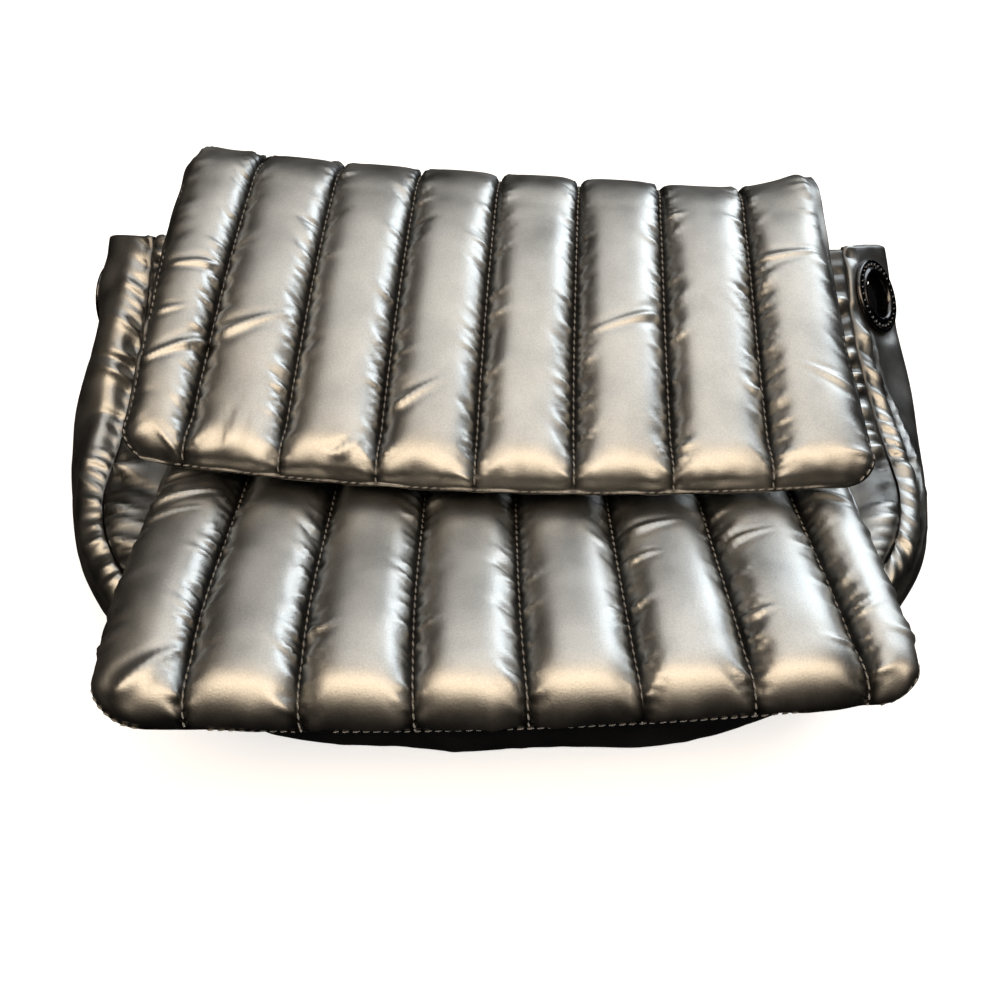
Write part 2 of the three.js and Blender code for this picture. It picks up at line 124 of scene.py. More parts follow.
def two_skins(name, columns, rows):
    """A grid of columns x rows doubled into an outer and an inner skin that share their border."""
    apart = 0.01
    shape = bmesh.new()
    bmesh.ops.create_grid(shape, x_segments=columns - 1, y_segments=rows - 1, size=0.5)
    column = shape.verts.layers.float.new("column")
    row = shape.verts.layers.float.new("row")
    skin = shape.verts.layers.float.new("skin")
    for vert in shape.verts:
        vert[column] = round((vert.co.x + 0.5) * (columns - 1))
        vert[row] = round((vert.co.y + 0.5) * (rows - 1))
        on_border = vert[column] in (0, columns - 1) or vert[row] in (0, rows - 1)
        vert[skin] = 0.0 if on_border else 1.0
    everything = shape.verts[:] + shape.edges[:] + shape.faces[:]
    for vert in bmesh.ops.duplicate(shape, geom=everything)["geom"]:
        if isinstance(vert, bmesh.types.BMVert):
            vert.co.z -= apart * vert[skin]
            vert[skin] = -vert[skin]
    bmesh.ops.remove_doubles(shape, verts=shape.verts, dist=1e-5)
    mesh = bpy.data.meshes.new(name)
    shape.to_mesh(mesh)
    shape.free()
    piece = bpy.data.objects.new(name, mesh)
    scene.collection.objects.link(piece)
    return piece


def layer(piece, name):
    """One of the numbers kept on every vertex of a piece."""
    values = np.empty(len(piece.data.vertices), np.float32)
    piece.data.attributes[name].data.foreach_get("value", values)
    return values.astype(float)


def keep_layer(piece, name, values):
    """Keeps one number on every vertex of a piece, for its finish to read."""
    kept = piece.data.attributes.new(name, "FLOAT", "POINT")
    kept.data.foreach_set("value", values.astype(np.float32))


def points_of(mesh):
    """A mesh's vertices, in metres."""
    values = np.empty(len(mesh.vertices) * 3, np.float32)
    mesh.vertices.foreach_get("co", values)
    return values.reshape(-1, 3).astype(float)


def place(piece, points):
    """Moves a piece's vertices to the given points, in metres."""
    piece.data.vertices.foreach_set("co", points.astype(np.float32).ravel())
    piece.data.update()


def bag_point(points):
    """Points of the pattern, in millimetres, as they lie in the scene."""
    return (points + BAG_SHIFT) * MM


def close_outwards(piece):
    """Turns the faces of a closed piece outwards."""
    shape = bmesh.new()
    shape.from_mesh(piece.data)
    bmesh.ops.recalc_face_normals(shape, faces=shape.faces)
    shape.to_mesh(piece.data)
    shape.free()


INFLATE_JITTER = 0.00012
INFLATE_FRAMES = 20
EVENING_PASSES = 24
LEAST_GATHERED = 0.01


def inflate(piece, held, gathered, pressure, most, seed):
    """Blows the padding up as cloth between its stitched lines, which hold still and gather the cloth beside
    them. The fill evens out how far the cloth moves, and `most` caps it, in metres."""
    start = points_of(piece.data)
    loose = ~held[:, None]
    jitter = np.random.default_rng(seed).normal(0, INFLATE_JITTER, start.shape)
    place(piece, start + jitter * loose)
    held_group = piece.vertex_groups.new(name="stitched")
    held_group.add(np.flatnonzero(held).tolist(), 1.0, "REPLACE")
    gather_group = piece.vertex_groups.new(name="gathered")
    for index in np.flatnonzero(gathered > LEAST_GATHERED).tolist():
        gather_group.add([index], float(gathered[index]), "REPLACE")
    cloth = piece.modifiers.new("cloth", "CLOTH")
    cloth.settings.quality = 5
    cloth.settings.mass = 0.1
    cloth.settings.tension_stiffness = 20
    cloth.settings.compression_stiffness = 20
    cloth.settings.shear_stiffness = 8
    cloth.settings.bending_stiffness = 0.02
    cloth.settings.air_damping = 2
    cloth.settings.tension_damping = 5
    cloth.settings.compression_damping = 5
    cloth.settings.vertex_group_mass = "stitched"
    cloth.settings.use_pressure = True
    cloth.settings.uniform_pressure_force = pressure
    cloth.settings.vertex_group_shrink = "gathered"
    cloth.settings.shrink_min = -0.01
    cloth.settings.shrink_max = -0.03
    cloth.settings.effector_weights.gravity = 0
    cloth.collision_settings.use_collision = False
    cloth.point_cache.frame_start = 1
    cloth.point_cache.frame_end = INFLATE_FRAMES
    for step in range(1, INFLATE_FRAMES + 1):
        scene.frame_set(step)
    settled = points_of(piece.evaluated_get(bpy.context.evaluated_depsgraph_get()).data)
    piece.modifiers.remove(cloth)
    piece.vertex_groups.clear()
    scene.frame_set(1)
    move = settled - start
    ends = np.empty(len(piece.data.edges) * 2, np.int32)
    piece.data.edges.foreach_get("vertices", ends)
    ends = np.concatenate([ends.reshape(-1, 2), ends.reshape(-1, 2)[:, ::-1]])
    neighbours = np.bincount(ends[:, 0], minlength=len(move))[:, None]
    for _ in range(EVENING_PASSES):
        around = [np.bincount(ends[:, 0], move[ends[:, 1], i], len(move)) for i in range(3)]
        move = (0.5 * move + 0.5 * np.stack(around, 1) / neighbours) * loose
    far = np.maximum(np.linalg.norm(move, axis=1), 1e-9)
    place(piece, start + move * (most * np.tanh(far / most) / far)[:, None])


def subdivide(piece):
    """Rounds a piece with one step of subdivision."""
    rounder = piece.modifiers.new("rounder", "SUBSURF")
    rounder.levels = 1
    rounder.render_levels = 1
    rounded = piece.evaluated_get(bpy.context.evaluated_depsgraph_get())
    finer = bpy.data.meshes.new_from_object(rounded)
    piece.modifiers.remove(rounder)
    coarse = piece.data
    piece.data = finer
    bpy.data.meshes.remove(coarse)
    piece.data.shade_smooth()


def raise_cloth(piece, lift):
    """Lifts a piece's cloth along its normals, by millimetres."""
    normals = np.empty(len(piece.data.vertices) * 3, np.float32)
    piece.data.vertex_normals.foreach_get("vector", normals)
    place(piece, points_of(piece.data) + normals.reshape(-1, 3) * (lift * MM)[:, None])


PUCKER_GAPS = (0.6, 1.45)
PUCKER_REACH = (0.45, 1.1)
PUCKER_HEIGHTS = (0.35, 1.1)
PUCKERS_RAISED = 0.62
PUCKER_DENT = -0.8
PUCKER_HALVES = (0.16, 0.3)
PUCKER_SLANTS = (0.3, 1.5)
PUCKER_WIDENING = 0.9
PUCKER_START = 1.3
PUCKER_FADE = 1.6
PUCKER_SEEN = 2.2
PUCKER_SEEN_ALONG = 3


def puckers(rng, along, away, length, spacing, reach, height, slant):
    """The small gathers that a row of stitches draws up: `along` the row and `away` from it."""
    lift = np.zeros_like(along)
    at = -spacing
    while at < length + spacing:
        at += spacing * rng.uniform(*PUCKER_GAPS)
        far = reach * (PUCKER_REACH[0] + PUCKER_REACH[1] * rng.random() ** 2)
        tall = height * rng.uniform(*PUCKER_HEIGHTS) * (1 if rng.random() < PUCKERS_RAISED else PUCKER_DENT)
        half = spacing * rng.uniform(*PUCKER_HALVES)
        lean = slant * rng.uniform(*PUCKER_SLANTS)
        beside = np.abs(along - at) < PUCKER_SEEN_ALONG * spacing + far
        near = np.flatnonzero((away > 0) & (away < PUCKER_SEEN * far) & beside)
        d = away[near]
        offset = (along[near] - at + lean * d) / (half * (1 + PUCKER_WIDENING * d / far))
        rise = tall * np.exp(-offset * offset) * (1 - np.exp(-d / PUCKER_START))
        lift[near] += rise * np.exp(-PUCKER_FADE * (d / far) ** 2)
    return lift


LUMP_WAVES = 14
LUMP_LENGTHS = (0.4, 1.0)


def lumps(rng, across, along, height, longest):
    """The uneven fill: soft swells over the cloth, in millimetres."""
    lift = np.zeros_like(across)
    for _ in range(LUMP_WAVES):
        turn = rng.uniform(0, math.pi)
        wave = longest * rng.uniform(*LUMP_LENGTHS)
        phase = rng.uniform(0, 2 * math.pi)
        lift += np.sin((across * math.cos(turn) + along * math.sin(turn)) * 2 * math.pi / wave + phase)
    return lift * height / math.sqrt(LUMP_WAVES)


def start_finish(name):
    """A new material, with its nodes, its links and its shader."""
    finish = bpy.data.materials.new(name)
    finish.use_nodes = True
    tree = finish.node_tree
    return finish, tree.nodes, tree.links, tree.nodes["Principled BSDF"]


def tone_ramp(nodes, *stops):
    """A ramp between two tones, each given with its place on the ramp."""
    ramp = nodes.new("ShaderNodeValToRGB")
    for element, (spot, tone) in zip(ramp.color_ramp.elements, stops):
        element.position = spot
        element.color = (*tone, 1)
    return ramp


MIX_FACTOR = 0
MIX_FIRST = 6
MIX_SECOND = 7
MIX_RESULT = 2
SPECK_SHARE = 0.6
# Painted shade: the near-black tone mixed into the nylon's colour where seams, gathers and hems lie in
# shadow.
PAINTED_SHADE_TONE = (0.035, 0.034, 0.033)
GLOSS_SPREAD = 0.05


def nylon(name, dark, light, roughness, grain):
    """Satin metallic nylon whose fine grain breaks its reflections up, with painted shade in its seams."""
    finish, nodes, links, shader = start_finish(name)
    shader.inputs["Metallic"].default_value = 1.0
    spot = nodes.new("ShaderNodeTexCoord")
    cloud = nodes.new("ShaderNodeTexNoise")
    cloud.inputs["Scale"].default_value = 60
    cloud.inputs["Detail"].default_value = 4
    speck = nodes.new("ShaderNodeTexNoise")
    speck.inputs["Scale"].default_value = 1700
    speck.inputs["Detail"].default_value = 2
    blend = nodes.new("ShaderNodeMath")
    blend.operation = "MULTIPLY_ADD"
    blend.inputs[1].default_value = SPECK_SHARE
    tone = tone_ramp(nodes, (0.55, dark), (1.0, light))
    # Painted shade: each piece's shade layer mixes the near-black tone into the colour.
    painted_shade_mask = nodes.new("ShaderNodeAttribute")
    painted_shade_mask.attribute_name = "painted_shade"
    shaded = nodes.new("ShaderNodeMix")
    shaded.data_type = "RGBA"
    shaded.inputs[MIX_SECOND].default_value = (*PAINTED_SHADE_TONE, 1)
    gloss = nodes.new("ShaderNodeMapRange")
    gloss.inputs["From Min"].default_value = 0.3
    gloss.inputs["From Max"].default_value = 0.7
    gloss.inputs["To Min"].default_value = roughness - GLOSS_SPREAD
    gloss.inputs["To Max"].default_value = roughness + GLOSS_SPREAD
    bump = nodes.new("ShaderNodeBump")
    bump.inputs["Strength"].default_value = grain
    bump.inputs["Distance"].default_value = 0.0003
    links.new(spot.outputs["Object"], cloud.inputs["Vector"])
    links.new(spot.outputs["Object"], speck.inputs["Vector"])
    links.new(speck.outputs["Fac"], blend.inputs[0])
    links.new(cloud.outputs["Fac"], blend.inputs[2])
    links.new(blend.outputs["Value"], tone.inputs["Fac"])
    links.new(painted_shade_mask.outputs["Fac"], shaded.inputs[MIX_FACTOR])
    links.new(tone.outputs["Color"], shaded.inputs[MIX_FIRST])
    links.new(shaded.outputs[MIX_RESULT], shader.inputs["Base Color"])
    links.new(cloud.outputs["Fac"], gloss.inputs["Value"])
    links.new(gloss.outputs["Result"], shader.inputs["Roughness"])
    links.new(speck.outputs["Fac"], bump.inputs["Height"])
    links.new(bump.outputs["Normal"], shader.inputs["Normal"])
    return finish


def panel_half_width(y):
    """Half the panel's width at a height of its pattern: straight sides and rounded lower corners."""
    share = np.clip(y / PANEL_BOTTOM_Y, 0, 1)
    return PANEL_BOTTOM_HALF + (PANEL_HALF_WIDTH - PANEL_BOTTOM_HALF) * np.sqrt(1 - share * share)


CHANNEL_BREADTH = 3.3
CHANNEL_STEEPNESS = 0.6


def channel_fullness(share):
    """How full a channel is from one seam, 0, to the next, 1: steep beside the seams and broad on top."""
    return (1 - np.abs(2 * np.clip(share, 0, 1) - 1) ** CHANNEL_BREADTH) ** CHANNEL_STEEPNESS


def edge_fullness(distance, taper):
    """How full the padding is near an edge: it rises like a quarter circle."""
    share = np.clip(distance / taper, 0, 1)
    return np.sqrt(share * (2 - share))


panel_stops = [0.0]
for seam in PANEL_SEAMS:
    stops_to_seam = PANEL_CHANNEL_STOPS if seam > PANEL_SEAMS[0] else PANEL_MIDDLE_STOPS
    panel_stops += np.linspace(panel_stops[-1], seam - SEAM_STRIP, stops_to_seam)[1:].tolist()
    panel_stops += [seam, seam + SEAM_STRIP]
panel_stops += np.linspace(panel_stops[-1], PANEL_WIDEST - SEAM_STRIP, PANEL_CHANNEL_STOPS)[1:].tolist()
panel_stops = np.array(panel_stops + [PANEL_WIDEST])
panel_rows = PANEL_BOTTOM_Y * np.sin(np.linspace(math.pi / 2, 0, PANEL_CORNER_ROWS))
panel_rows = np.concatenate([panel_rows, np.linspace(0, PANEL_MOUTH_Y, PANEL_SIDE_ROWS)[1:]])


def quilted_panel(name, height_at, wider, loft_up, loft_down, seed):
    """A panel of the pouch: its skins stand off a middle surface whose height is given over the pattern.
    `wider` tells by the height in the pattern how far its left and right edges lie outside the back's."""
    per_side = len(panel_stops) - 1
    piece = two_skins(name, 2 * per_side + 1, len(panel_rows))

    def pattern():
        y = np.interp(layer(piece, "row"), np.arange(len(panel_rows)), panel_rows)
        column = layer(piece, "column") - per_side
        stop = np.interp(np.abs(column), np.arange(per_side + 1), panel_stops)
        spread = read_table(wider, y)
        edge = panel_half_width(y) + np.where(column < 0, spread[..., 0], spread[..., 1])
        packed = edge - (per_side - np.abs(column)) * PANEL_PACKED_STEP
        x = np.sign(column) * np.minimum(stop, packed)
        return x, y, edge

    x, y, edge = pattern()
    skin = layer(piece, "skin")
    across = np.mod(x + CHANNEL_PITCH / 2, CHANNEL_PITCH)
    from_seam = np.minimum(across, CHANNEL_PITCH - across)
    to_edge = np.minimum(np.minimum(edge - np.abs(x), PANEL_MOUTH_Y - y), y - PANEL_BOTTOM_Y)
    full = channel_fullness((across - SEAM_STRIP) / (CHANNEL_PITCH - 2 * SEAM_STRIP))
    full = full * edge_fullness(to_edge - SEAM_STRIP, PANEL_EDGE_TAPER)
    loft = np.where(skin > 0, loft_up, loft_down) * full + CLOTH_HALF
    place(piece, bag_point(np.stack([x, y, height_at(x, y) + skin * loft], 1)))
    close_outwards(piece)
    held = (from_seam < SEAM_STRIP + ON_STITCH) | (to_edge < SEAM_STRIP + ON_STITCH)
    gathered = np.clip(1 - from_seam / PANEL_GATHERED, 0, 1)
    inflate(piece, held, gathered, PANEL_PRESSURE, PANEL_MOST, seed)
    subdivide(piece)

    x, y, edge = pattern()
    skin = layer(piece, "skin")
    along = y - PANEL_BOTTOM_Y
    to_side = edge - np.abs(x)
    rng = np.random.default_rng(seed)
    lift = np.zeros_like(x)
    for seam in (*PANEL_SEAMS, *(-stop for stop in PANEL_SEAMS)):
        for side in (-1, 1):
            for face in (-1, 1):
                away = np.where(np.sign(skin) == face, side * (x - seam) - SEAM_STRIP, -1)
                away = np.where(away < CHANNEL_PITCH / 2, away, -1)
                lift += puckers(rng, along, away, PANEL_RUN, *PANEL_SEAM_PUCKERS)
    gathers = np.zeros_like(x)
    for side in (-1, 1):
        away = np.where(skin > 0, edge + side * x - SEAM_STRIP, -1)
        away = np.where(away < PANEL_SIDE_BAND, away, -1)
        gathers += puckers(rng, along, away, PANEL_RUN, *PANEL_SIDE_PUCKERS)
    raise_cloth(piece, (lift + gathers) * np.clip(to_side / PANEL_SIDE_FADE, 0, 1))
    # Painted shade: the colour is darkened beside every seam and, near the sides, in the valleys between the
    # gathers, so that only their ridges stay light.
    across = np.mod(x + CHANNEL_PITCH / 2, CHANNEL_PITCH)
    from_seam = np.minimum(np.minimum(across, CHANNEL_PITCH - across), to_side)
    by_seam = PANEL_SHADE * np.exp(-((from_seam / PANEL_SHADE_WIDTH) ** 2))
    by_side = np.clip((GATHER_SHADE_BAND - to_side) / GATHER_SHADE_FADE, 0, 1) * (skin > 0)
    between = GATHER_SHADE * by_side * np.clip(1 - gathers / GATHER_LIT_HEIGHT, 0, 1)
    keep_layer(piece, "painted_shade", np.maximum(by_seam, between))
    return piece


def back_height(x, y):
    """Height of the back's middle surface, which lies level."""
    return np.full_like(x, BACK_SEAM_HEIGHT)


back_panel = quilted_panel("back_panel_quilt", back_height, BACK_WIDER, BACK_LOFT, BACK_LOFT, BACK_SEED)
resting = points_of(back_panel.data)
resting[:, 2] = np.maximum(resting[:, 2], BACK_LOWEST)
place(back_panel, resting)
shell_nylon = nylon("shell_nylon", SHELL_DARK, SHELL_LIGHT, SHELL_ROUGHNESS, SHELL_GRAIN)
back_panel.data.materials.append(shell_nylon)
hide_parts("back_panel")
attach(back_panel, "root")


# Front panel
# The pouch's front, quilted like its back. The bag is empty, so it sags between the mouth and the bottom.
# It shows only beside the lower flap and under its free edge. A row of its heights is a place in the
# pattern, then the height at the left edge, the middle and the right edge.
FRONT_HEIGHTS = (
    (-78, 36, 37, 36), (-50, 37, 33, 37), (-14, 38, 28, 38), (30, 43, 36, 43), (60, 57, 51, 56),
    (95, 77, 69, 72),
)
FRONT_WIDER = (
    (-78, 0, 0), (-60, 4, 4), (-30, 6, 7), (0, 5.5, 7), (30, 4, 5), (60, 1.5, 1), (95, 0, 0),
)
FRONT_LOFT = 4.2
FRONT_SEED = 12


def front_height(x, y):
    """Height of the sagging front, lowest along its middle."""
    level = read_table(FRONT_HEIGHTS, y)
    share = np.clip(np.abs(x) / panel_half_width(y), 0, 1) ** 2
    return level[..., 1] * (1 - share) + np.where(x < 0, level[..., 0], level[..., 2]) * share


front_panel = quilted_panel(
    "front_panel_quilt", front_height, FRONT_WIDER, FRONT_LOFT, FRONT_LOFT, FRONT_SEED
)
front_panel.data.materials.append(shell_nylon)
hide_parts("front_panel")
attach(front_panel, "root")


# Gusset
# One plain strip of the same nylon round the sides and the bottom of the pouch, sewn to both panels and
# gathered where it meets the front one. Its hemmed top ends stand out as ears, and each is pierced for an
# eyelet. A row of its tables is a distance from the mouth, three points (out, height) and the ear's flare.
GUSSET_HALF = 1.2
GUSSET_SEAM_OUT = -0.8
GUSSET_COLUMNS = 46
GUSSET_ROWS = 480
GUSSET_HEM = (0.6, 1.6)
GUSSET_SEWN = (0.012, 0.03)
GUSSET_TURNS = 200
GUSSET_SEED = 21
GUSSET_DARK = (0.37, 0.368, 0.357)
GUSSET_LIGHT = (0.53, 0.527, 0.512)
GUSSET_ROUGHNESS = 0.36
GUSSET_GRAIN = 0.12
EYELET_RADIUS = 15.5
EYELET_BARREL = 10.4
EYELET_PRESS = 6.0
EYELET_CLEAR = 0.6
EYELET_REACH = 5
EYELETS = {
    "left": (np.array([-160.69, 79.19, 48.78]), np.array([-0.9949, 0.1009, 0.0066])),
    "right": (np.array([152.41, 73.34, 54.78]), np.array([0.6707, -0.3575, 0.6499])),
}
GUSSET_SIDES = (
    (95, 16, 9, 22, 25, 12, 37, 0),
    (125, 12, 8, 16, 22, 9, 35, 0),
    (165, 11, 7, 13, 19, 8, 33, 0),
    (230, 11, 5, 11, 16, 7, 32, 0),
    (276, 13, 5, 12, 15, 8, 32, 0),
)
GUSSET_LEFT = (
    (0, 17, 31, 19, 55, 20, 72, 16),
    (35, 20, 20, 24, 40, 17, 59, 3),
    (62, 21, 13, 28, 32, 18, 46, 0),
    *GUSSET_SIDES,
)
GUSSET_RIGHT = (
    (0, 22, 25, 24, 56, 14, 66, 20),
    (35, 23, 15, 29, 32, 15, 43, 3),
    *GUSSET_SIDES,
)
GUSSET_FLARE_LEAN = 0.63
SPREAD_START = 0.7
SPREAD_SPAN = 0.3
OUTLINE_STEP = 0.5
FRONT_SEAM_PUCKERS = (4.4, 14, 2.6, 0.6)
FRONT_SEAM_IN = 0.8
BACK_SEAM_PUCKERS = (7, 12, 1.0, -0.3)
BACK_SEAM_IN = 1
STRIP_LUMPS = (0.5, 60)
STRIP_LUMPS_IN = 12
LEFT_END = 260
RIGHT_START = 300
BOTTOM_FADE = 60
EAR_FADE = 20
RIDGE = 2.4
RIDGE_OUT = 8.0
RIDGE_WIDTH = 4.5
BAND = 1.8
BAND_OUT = 5.5
BAND_WIDTH = 3.5
PIPING = 1.4
PIPING_OUT = 13.0
PIPING_WIDTH = 1.6
PIPING_RIBS = (2.6, 6, 1.0, 0.2)
PIPING_RIBS_IN = 3
GROOVE = 0.8
GROOVE_OUT = 10.6
GROOVE_WIDTH = 1.1
# Painted shade on the gusset: in the groove beside the piping and along the front seam.
GROOVE_SHADE = 0.7
STRIP_SHADE = 0.85
STRIP_SHADE_WIDTH = 1.8

turns = np.linspace(0, math.pi / 2, GUSSET_TURNS)
corner_x = PANEL_BOTTOM_HALF + (PANEL_HALF_WIDTH - PANEL_BOTTOM_HALF) * np.cos(turns)
corner_y = PANEL_BOTTOM_Y * np.sin(turns)
outline = np.concatenate(
    [
        [[-PANEL_HALF_WIDTH, PANEL_MOUTH_Y]],
        np.stack([-corner_x, corner_y], 1),
        np.stack([corner_x, corner_y], 1)[::-1],
        [[PANEL_HALF_WIDTH, PANEL_MOUTH_Y]],
    ]
)
outline_run = np.concatenate([[0], np.cumsum(np.linalg.norm(np.diff(outline, axis=0), axis=1))])
gusset_length = outline_run[-1]


def outline_at(run):
    """The panels' edge at a distance along it from the left end of the mouth, and its direction."""
    ahead = np.clip(run + OUTLINE_STEP, 0, gusset_length)
    behind = np.clip(run - OUTLINE_STEP, 0, gusset_length)
    spots = []
    for at in (run, ahead, behind):
        spots.append(np.stack([np.interp(at, outline_run, outline[:, i]) for i in (0, 1)], -1))
    direction = spots[1] - spots[2]
    return spots[0], direction / np.linalg.norm(direction, axis=-1, keepdims=True)


def gusset_surface(runs, across):
    """The strip's middle surface over runs x across, from the back seam, 0, to the front seam, 1."""
    from_mouth = np.minimum(runs, gusset_length - runs)
    left = runs < gusset_length / 2
    left_section = read_table(GUSSET_LEFT, from_mouth)
    section = np.where(left[:, None], left_section, read_table(GUSSET_RIGHT, from_mouth))
    flat = np.ones_like(runs)
    seam, direction = outline_at(runs)
    front_seam = front_height(seam[:, 0], seam[:, 1])
    spread = read_table(FRONT_WIDER, seam[:, 1])
    near_front = np.clip((across - SPREAD_START) / SPREAD_SPAN, 0, 1)[:, None] ** 2
    sideways = np.where(left, -spread[:, 0], spread[:, 1]) * near_front
    outs = [GUSSET_SEAM_OUT * flat, section[:, 0], section[:, 2], section[:, 4], GUSSET_SEAM_OUT * flat]
    heights = [BACK_SEAM_HEIGHT * flat, section[:, 1], section[:, 3], section[:, 5], front_seam]
    knots = np.linspace(0, 1, 5)[:, None]
    out = read_table(np.hstack([knots, outs]), across)
    height = read_table(np.hstack([knots, heights]), across)
    flare = section[:, 6] * np.sin(np.pi * across ** GUSSET_FLARE_LEAN)[:, None]
    x = seam[:, 0] + out * direction[:, 1] + sideways
    y = seam[:, 1] - out * direction[:, 0] + flare
    return np.stack([x, y, height], -1).transpose(1, 0, 2)


def bell(distance, width):
    """A soft bump across a line, 1 on the line itself."""
    return np.exp(-((distance / width) ** 2))


gusset = two_skins("gusset_strip", GUSSET_COLUMNS, GUSSET_ROWS)
inner_across = np.linspace(GUSSET_SEWN[1], 1 - GUSSET_SEWN[1], GUSSET_COLUMNS - 4)
gusset_across = np.concatenate([[0, GUSSET_SEWN[0]], inner_across, [1 - GUSSET_SEWN[0], 1]])
inner_runs = np.linspace(GUSSET_HEM[1], gusset_length - GUSSET_HEM[1], GUSSET_ROWS - 4)
last_runs = [gusset_length - GUSSET_HEM[0], gusset_length]
gusset_runs = np.concatenate([[0, GUSSET_HEM[0]], inner_runs, last_runs])
surface = gusset_surface(gusset_runs, gusset_across)
strip_normal = np.cross(np.gradient(surface, axis=0), np.gradient(surface, axis=1))
strip_normal /= np.linalg.norm(strip_normal, axis=2, keepdims=True)
steps = np.linalg.norm(np.diff(surface, axis=1), axis=2)
girth = np.concatenate([np.zeros((len(surface), 1)), np.cumsum(steps, axis=1)], 1)
to_front = girth[:, -1:] - girth
strip_run = np.repeat(gusset_runs, GUSSET_COLUMNS)
from_front = to_front.ravel() - FRONT_SEAM_IN
from_back = girth.ravel() - BACK_SEAM_IN
rng = np.random.default_rng(GUSSET_SEED)
strip_lift = puckers(rng, strip_run, from_front, gusset_length, *FRONT_SEAM_PUCKERS)
strip_lift += puckers(rng, strip_run, from_back, gusset_length, *BACK_SEAM_PUCKERS)
inside = np.clip(to_front.ravel() / STRIP_LUMPS_IN, 0, 1)
strip_lift += lumps(rng, to_front.ravel(), strip_run, *STRIP_LUMPS) * inside
on_left = np.clip((LEFT_END - strip_run) / BOTTOM_FADE, 0, 1) * np.clip(strip_run / EAR_FADE, 0, 1)
strip_lift += on_left * RIDGE * bell(from_front - RIDGE_OUT, RIDGE_WIDTH)
on_right = np.clip((strip_run - RIGHT_START) / BOTTOM_FADE, 0, 1)
on_right = on_right * np.clip((gusset_length - strip_run) / EAR_FADE, 0, 1)
strip_lift += on_right * BAND * bell(from_front - BAND_OUT, BAND_WIDTH)
on_piping = bell(from_front - PIPING_OUT, PIPING_WIDTH) * on_right
in_groove = bell(from_front - GROOVE_OUT, GROOVE_WIDTH) * on_right
from_ribs = from_front - PIPING_OUT + PIPING_RIBS_IN
ribs = puckers(rng, strip_run, from_ribs, gusset_length, *PIPING_RIBS)
strip_lift = strip_lift * (1 - on_piping) + (PIPING + ribs) * on_piping - GROOVE * in_groove
strip_lift = strip_lift.reshape(to_front.shape)
# Painted shade: the colour is darkened along the front seam and in the groove, and left plain where an
# eyelet presses the cloth flat.
groove_shade = GROOVE_SHADE * in_groove.reshape(to_front.shape)
strip_shade = np.maximum(STRIP_SHADE * bell(to_front, STRIP_SHADE_WIDTH), groove_shade)
for centre, axis in EYELETS.values():
    offset = surface + BAG_SHIFT - centre
    rise = offset @ axis
    from_axis = np.sqrt(np.maximum(0, (offset ** 2).sum(2) - rise ** 2))
    near_rim = 1 - np.clip((from_axis - EYELET_RADIUS) / EYELET_PRESS, 0, 1)
    near_face = 1 - np.clip((np.abs(rise) - EYELET_PRESS) / EYELET_PRESS, 0, 1)
    press = near_rim ** 2 * (3 - 2 * near_rim) * near_face ** 2 * (3 - 2 * near_face)
    surface = surface - axis * (rise * press)[..., None]
    strip_lift = strip_lift * (1 - press)
    strip_shade = strip_shade * (1 - press)
columns = layer(gusset, "column").astype(int)
rows = layer(gusset, "row").astype(int)
skins = layer(gusset, "skin")
strip_points = surface + strip_normal * strip_lift[..., None]
strip_points = strip_points[rows, columns] + strip_normal[rows, columns] * (GUSSET_HALF * skins)[:, None]
place(gusset, bag_point(strip_points))
keep_layer(gusset, "painted_shade", strip_shade[rows, columns])
shape = bmesh.new()
shape.from_mesh(gusset.data)
for centre, axis in EYELETS.values():
    pierced = []
    for vert in shape.verts:
        offset = np.array(vert.co) / MM - centre
        rise = float(offset @ axis)
        in_hole = offset @ offset - rise * rise < (EYELET_BARREL + EYELET_CLEAR) ** 2
        if abs(rise) < EYELET_REACH and in_hole:
            pierced.append(vert)
    bmesh.ops.delete(shape, geom=pierced, context="VERTS")
    rims = [edge for edge in shape.edges if edge.is_boundary]
    bmesh.ops.bridge_loops(shape, edges=rims)
bmesh.ops.recalc_face_normals(shape, faces=shape.faces)
shape.to_mesh(gusset.data)
shape.free()
gusset.data.shade_smooth()
gusset_nylon = nylon("gusset_nylon", GUSSET_DARK, GUSSET_LIGHT, GUSSET_ROUGHNESS, GUSSET_GRAIN)
gusset.data.materials.append(gusset_nylon)
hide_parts("gusset")
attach(gusset, "root")


# Eyelets
# Two turned and rolled gunmetal rings, set through the ears with a washer behind, for a strap to clip into.
# A ring of small beads runs round each face. The profile is given as (radius, rise).
EYELET_PROFILE = (
    (9.0, -2.0), (9.3, -2.6), (10.2, -2.85), (13.3, -2.85), (14.2, -2.5), (14.5, -2.0), (14.2, -1.5),
    (10.4, -1.5), (10.4, 1.5), (15.1, 1.5), (15.5, 2.0), (15.4, 2.5), (14.9, 3.0), (14.3, 3.1),
    (14.0, 2.9), (11.8, 2.9), (11.5, 3.2), (10.9, 3.55), (10.0, 3.5), (9.3, 3.0), (9.0, 2.3),
)
EYELET_STEPS = 64
BEADS = 30
BEAD_RADIUS = 0.85 * MM
BEAD_SPOT = (12.9 * MM, 0, 2.95 * MM)
BEAD_SQUASH = (1, 0.75, 0.6, 1)


